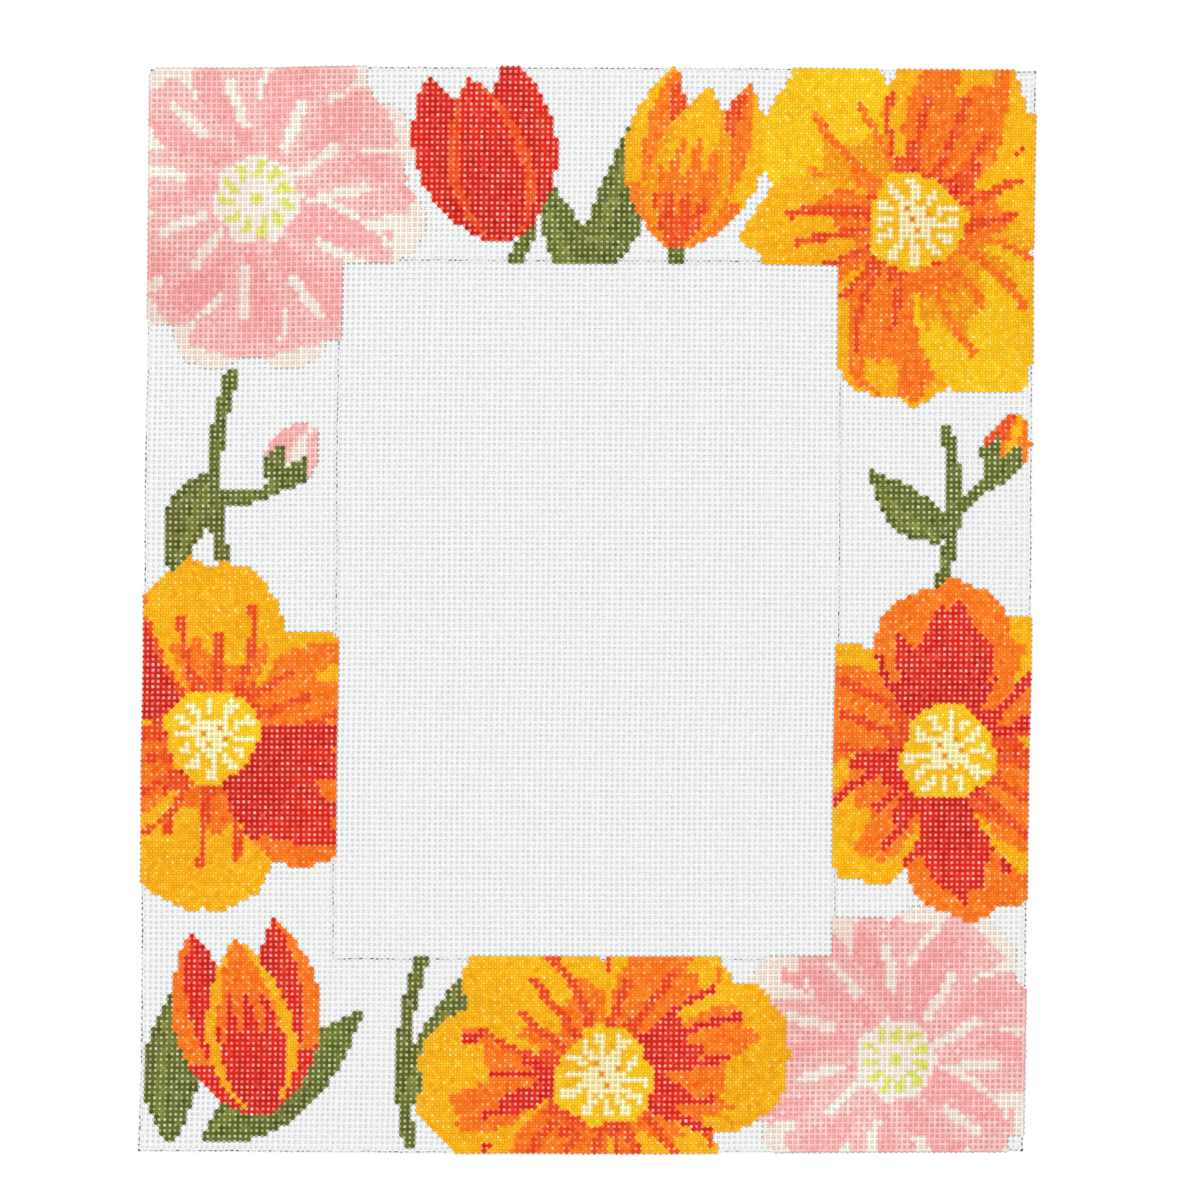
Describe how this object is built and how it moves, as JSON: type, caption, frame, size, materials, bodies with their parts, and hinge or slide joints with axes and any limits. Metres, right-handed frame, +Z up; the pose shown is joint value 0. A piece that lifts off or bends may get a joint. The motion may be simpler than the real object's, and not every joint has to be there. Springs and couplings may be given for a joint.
{
  "type": "needlepoint canvas panel",
  "caption": "Flat rectangular needlepoint canvas with a painted floral border round a blank window, ready to stitch.",
  "frame": {"origin": "under the middle of the cloth, on the surface that it lies on", "axes": "+X across the panel to the right, +Y along its length towards the top edge, +Z up out of the painted face"},
  "size_m": [0.2314, 0.2798, 0.001],
  "materials": {
    "canvas": "white open-weave cotton mono canvas with matt sizing, hand painted in amber, orange, red, pink, cream and olive"
  },
  "bodies": {
    "root": {"canvas": "canvas"}
  },
  "joints": []
}
